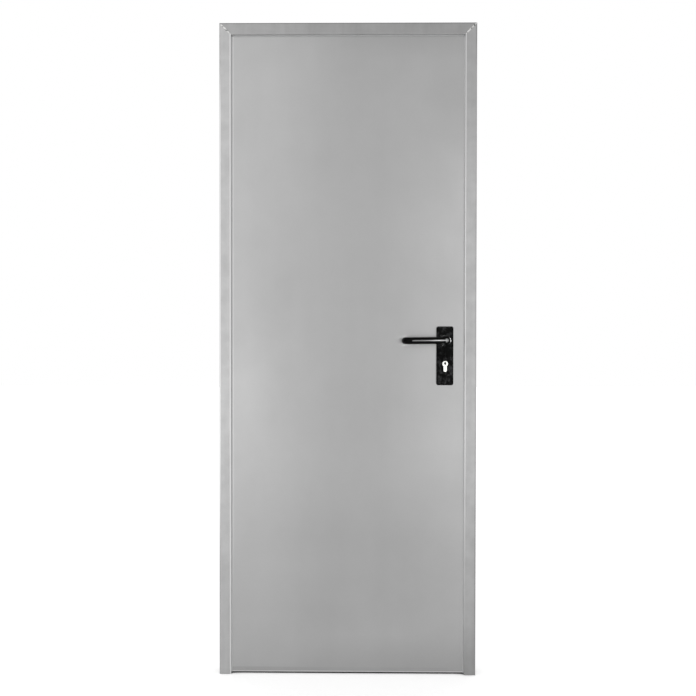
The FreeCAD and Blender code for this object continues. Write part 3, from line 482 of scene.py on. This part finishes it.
# The plate's screws: two countersunk screws, blacked to go with the nylon, hold the front plate to the leaf. The
# black is a thin oxide, and the screwdriver has rubbed patches of it back to grey steel.
OXIDE_RUB_MM = 2
blacked_steel, tree, shader, place = new_material("blacked_screw_steel")
rubbed = node(tree, "ShaderNodeTexNoise", Vector=place, Scale=1 / (OXIDE_RUB_MM * MM), Detail=3.0)
amount = node(tree, "ShaderNodeMapRange", _0=rubbed, _1=0.4, _2=0.7, _3=0.0, _4=1.0)
feed(tree, shader, Base_Color=blend_colours(tree, amount, linear("#141414"), linear("#3d3d3c")))
feed(tree, shader, Metallic=1.0, Roughness=0.4)
PLATE_THICK_MM, FOOT_SCREW_IN_MM, TOP_SCREW_IN_MM = 9, 19, 13
PLATE_LOW, PLATE_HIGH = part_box("front_plate")
PLATE_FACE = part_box("front_skin")[0].y - PLATE_THICK_MM * MM
PLATE_MIDDLE = (PLATE_LOW.x + PLATE_HIGH.x) / 2
for name, height, turn in (
    ("plate_foot_screw", PLATE_LOW.z + FOOT_SCREW_IN_MM * MM, 0.5),
    ("plate_top_screw", PLATE_HIGH.z - TOP_SCREW_IN_MM * MM, 0.1),
):
    countersunk_screw(name, (PLATE_MIDDLE, PLATE_FACE, height), (0, -1, 0), turn, blacked_steel)

# The floor and the studio: a pale painted floor, a white surround and soft boxes. The camera sees floor and
# surround as white; mirrored rays see a dimmer front and dim sides, so that the metal has something to mirror.
FLOOR_HALF, FLOOR_MIDDLE = 14.0, (0.395, 0.02, 0)
floor_mesh = bpy.data.meshes.new("floor")
floor_mesh.from_pydata(
    [(x * FLOOR_HALF, y * FLOOR_HALF, 0) for x, y in ((-1, -1), (1, -1), (1, 1), (-1, 1))], [], [(0, 1, 2, 3)]
)
floor = bpy.data.objects.new("floor", floor_mesh)
floor.location = FLOOR_MIDDLE
bpy.context.scene.collection.objects.link(floor)

# Floor paint: pale, matt and a little rough. Its glow for the camera gives way where something stands close over
# it, and there its colour goes dark as a painted shadow, so the door keeps a dark line under its edge at every
# pose.
SHADOW_REACH_MM = 45
pale_floor, tree, shader, place = new_material("pale_painted_floor")
rays = node(tree, "ShaderNodeLightPath").outputs
mirrored = node(
    tree, "ShaderNodeMath", {"operation": "MAXIMUM"}, _0=rays["Is Glossy Ray"], _1=rays["Is Transmission Ray"]
)
far = node(tree, "ShaderNodeVectorMath", {"operation": "LENGTH"}, _0=place).outputs["Value"]
seen = node(tree, "ShaderNodeMapRange", SMOOTH, _0=far, _1=0.3, _2=2.5, _3=0.49, _4=0.62)
seen = node(tree, "ShaderNodeMath", {"operation": "MULTIPLY"}, _0=rays["Is Camera Ray"], _1=seen)
bounce = node(tree, "ShaderNodeMapRange", SMOOTH, _0=far, _1=0.25, _2=1.0, _3=0.06, _4=0.0)
glow = node(tree, "ShaderNodeMath", {"operation": "MULTIPLY_ADD"}, _0=mirrored, _1=bounce, _2=seen)
open_above = node(
    tree, "ShaderNodeAmbientOcclusion", {"samples": 12}, Distance=SHADOW_REACH_MM * MM
).outputs["AO"]
unshaded = node(tree, "ShaderNodeMapRange", SMOOTH, _0=open_above, _1=0.3, _2=0.65, _3=0.0, _4=1.0)
glow = node(tree, "ShaderNodeMath", {"operation": "MULTIPLY"}, _0=glow, _1=unshaded)
# The painted shadow: the paint goes dark where something stands close over it.
clear = node(tree, "ShaderNodeMapRange", SMOOTH, _0=open_above, _1=0.05, _2=0.35, _3=0.0, _4=1.0)
feed(tree, shader, Base_Color=blend_colours(tree, clear, linear("#303030"), linear("#f3f3f3")), Roughness=0.9)
feed(tree, shader, Emission_Color=(1, 1, 1, 1), Emission_Strength=glow)
dress(floor, pale_floor)

STUDIO_LIGHT, WHITE = 0.6, 1.0
SIDE_WALLS, FRONT_AND_BACK = 0.35, 0.6
world = bpy.data.worlds.new("white_surround")
bpy.context.scene.world = world
world.use_nodes = True
tree = world.node_tree
rays = node(tree, "ShaderNodeLightPath").outputs
mirrored = node(
    tree, "ShaderNodeMath", {"operation": "MAXIMUM"}, _0=rays["Is Glossy Ray"], _1=rays["Is Transmission Ray"]
)
heading = node(
    tree, "ShaderNodeSeparateXYZ", Vector=node(tree, "ShaderNodeTexCoord").outputs["Generated"]
).outputs
facing = node(tree, "ShaderNodeMath", {"operation": "ABSOLUTE"}, _0=heading["Y"])
walls = node(
    tree, "ShaderNodeMapRange", SMOOTH, _0=facing, _1=0.15, _2=0.6, _3=SIDE_WALLS, _4=FRONT_AND_BACK
)
backdrop = node(tree, "ShaderNodeMapRange", SMOOTH, _0=heading["Y"], _1=0.0, _2=0.4, _3=0.0, _4=1.0)
walls = node(tree, "ShaderNodeMix", {"data_type": "FLOAT"}, _0=backdrop, _2=walls, _3=WHITE)
level = node(tree, "ShaderNodeMix", {"data_type": "FLOAT"}, _0=mirrored, _2=STUDIO_LIGHT, _3=walls)
level = node(tree, "ShaderNodeMix", {"data_type": "FLOAT"}, _0=rays["Is Camera Ray"], _2=level, _3=WHITE)
feed(tree, tree.nodes["Background"], Color=(1, 1, 1, 1), Strength=level)


def softbox(name, place, aim, wide, high, power, only=()):
    """A soft rectangular lamp at place, turned to face aim. Where only is given, it lights those pieces alone."""
    lamp = bpy.data.lights.new(name, "AREA")
    lamp.shape = "RECTANGLE"
    lamp.size, lamp.size_y = wide, high
    lamp.energy = power
    made = bpy.data.objects.new(name, lamp)
    made.location = place
    made.rotation_euler = (Vector(aim) - Vector(place)).to_track_quat("-Z", "Y").to_euler()
    bpy.context.scene.collection.objects.link(made)
    if only:
        lit = bpy.data.collections.new(f"{name}_lights_only")
        for piece in only:
            lit.objects.link(piece)
        made.light_linking.receiver_collection = lit


# Wide, weak lamps in front light the door and the floor. The zinc mirrors them as soft pale bands.
softbox("left_softbox", (-1.25, -2.4, 1.7), (-1.25, 0, 1.7), 2.5, 3.3, 7.2)
softbox("right_softbox", (1.2, -2.4, 1.15), (1.2, 0, 1.15), 0.5, 2.2, 1.6)
softbox("left_low_softbox", (-1.3, -2.4, 0.6), (-1.3, 0, 0.6), 2.3, 1.1, 3.0)
softbox("right_low_softbox", (1.5, -2.4, 0.6), (1.5, 0, 0.6), 0.9, 1.1, 0.6)
softbox("left_edge_softbox", (-0.36, -2.34, 0.65), (-0.36, 0, 0.65), 0.5, 0.8, 0.29)
softbox("right_edge_softbox", (1.13, -2.34, 0.42), (1.13, 0, 0.42), 0.35, 0.45, 0.11)
softbox("left_floor_wash", (-0.85, -1.3, 1.0), (-0.85, -1.3, 0), 0.8, 1.6, 2.4)
softbox("right_floor_wash", (1.65, -1.3, 1.0), (1.65, -1.3, 0), 0.8, 1.6, 2.4)
# Smaller lamps, kept off the zinc, give the black levers, the plates and the cylinder their highlights.
levers = [nodes["front_lever"], nodes["back_lever"]]
plates = [nodes["front_plate"], nodes["back_plate"]]
cylinder = [nodes["cylinder_body"], nodes["front_plug"], nodes["back_plug"]]
softbox("cylinder_light", (0.97, -2.25, 0.87), (0.694, 0, 0.955), 0.9, 0.9, 2.4, cylinder)
softbox("lever_key", (0.925, -2.25, 1.04), (0.68, 0, 1.03), 0.05, 1.3, 48, levers)
softbox("lever_fill", (0.82, -2.25, 1.04), (0.63, 0, 1.03), 0.2, 1.3, 37, levers)
softbox("lever_rim", (1.9, 0.28, 1.15), (0.69, -0.05, 1.03), 0.18, 1.4, 240, levers)
softbox("plate_top_light", (0.75, -1.4, 2.4), (0.69, 0, 1.0), 0.8, 0.3, 80, plates)

# The camera stands where the photograph was taken: a little right of the middle and level with the lever. It is
# turned by a fraction of a degree each way, in degrees here, and its lens gives the photograph's frame.
CAMERA_YAW, CAMERA_PITCH, CAMERA_ROLL = -0.538, -0.646, 0.076
camera_data = bpy.data.cameras.new("camera")
camera_data.sensor_fit = "HORIZONTAL"
camera_data.sensor_width = 36.0
camera_data.lens = 38.71
camera = bpy.data.objects.new("camera", camera_data)
camera.location = (0.4176, -2.305, 1.0351)
camera.rotation_mode = "XYZ"
aimed = Matrix.Rotation(math.radians(-CAMERA_YAW), 3, "Z")
aimed @= Matrix.Rotation(math.radians(90 + CAMERA_PITCH), 3, "X")
camera.rotation_euler = (aimed @ Matrix.Rotation(math.radians(CAMERA_ROLL), 3, "Z")).to_euler()
bpy.context.scene.collection.objects.link(camera)
bpy.context.scene.camera = camera
bpy.context.scene.view_settings.view_transform = "Standard"
